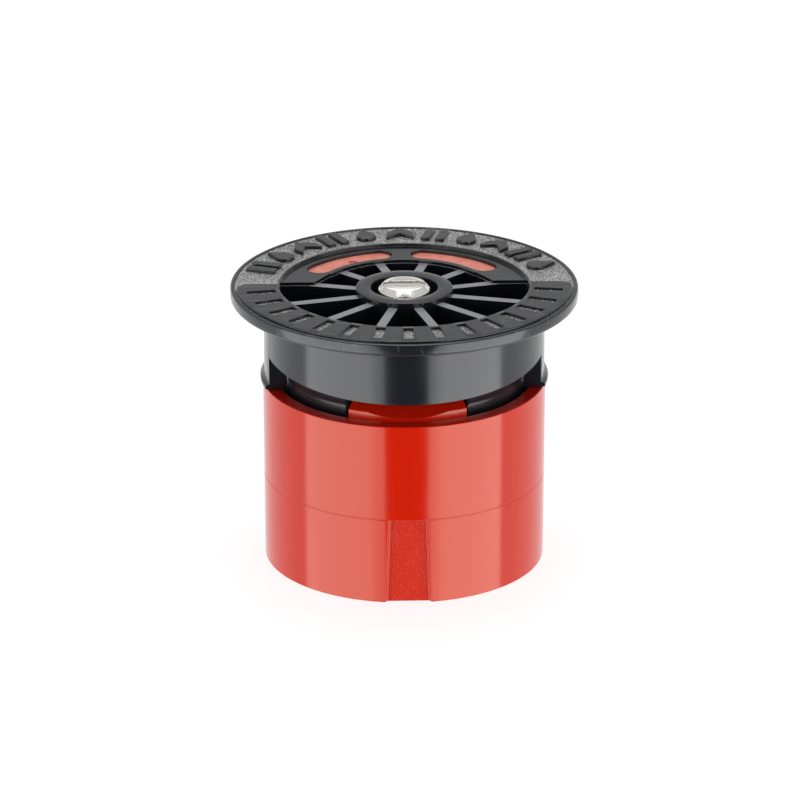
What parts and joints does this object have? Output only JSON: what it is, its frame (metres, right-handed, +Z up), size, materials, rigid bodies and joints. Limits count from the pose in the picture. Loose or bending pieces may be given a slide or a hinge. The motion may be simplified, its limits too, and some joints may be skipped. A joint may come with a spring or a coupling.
{
  "type": "pop-up sprinkler nozzle",
  "caption": "Fixed half-circle spray nozzle that screws onto a pop-up sprinkler's riser, with a screw that throttles its radius.",
  "frame": {"origin": "centre of the bottom ring, on the nozzle's axis", "axes": "+Z up the nozzle's axis towards the screw, spray window towards -Y"},
  "size_m": [0.0286, 0.0286, 0.0237],
  "materials": {
    "red_body": "glossy moulded red plastic, smooth sides and a grainy key notch",
    "black_cap": "satin black moulded plastic with a grainy rim floor",
    "steel_screw": "bright stainless steel, lightly worn",
    "steel_clip": "plain spring steel",
    "plug_acetal": "natural white acetal",
    "seat_rubber": "moulded black rubber",
    "gasket_rubber": "flat black rubber",
    "seal_rubber": "moulded black rubber"
  },
  "bodies": {
    "root": {"nozzle_body": "red_body", "deflector_cap": "black_cap", "throttle_seat": "seat_rubber", "riser_gasket": "gasket_rubber", "screw_o_ring": "seal_rubber"},
    "throttle": {"throttle_plug": "plug_acetal"},
    "screw": {"radius_screw": "steel_screw", "plug_clip": "steel_clip"}
  },
  "joints": [
    {"name": "plug_travel", "type": "slide", "parent": "root", "child": "throttle", "axis": [0, 0, -1], "range_m": [0, 0.0028]},
    {"name": "screw_turn", "type": "hinge", "parent": "throttle", "child": "screw", "pos_m": [0, 0, 0.0205], "axis": [0, 0, -1], "range_deg": [0, 1440]}
  ],
  "couplings": [
    {"joint": "screw_turn", "follows": "plug_travel", "rad_per_m": 8976}
  ]
}
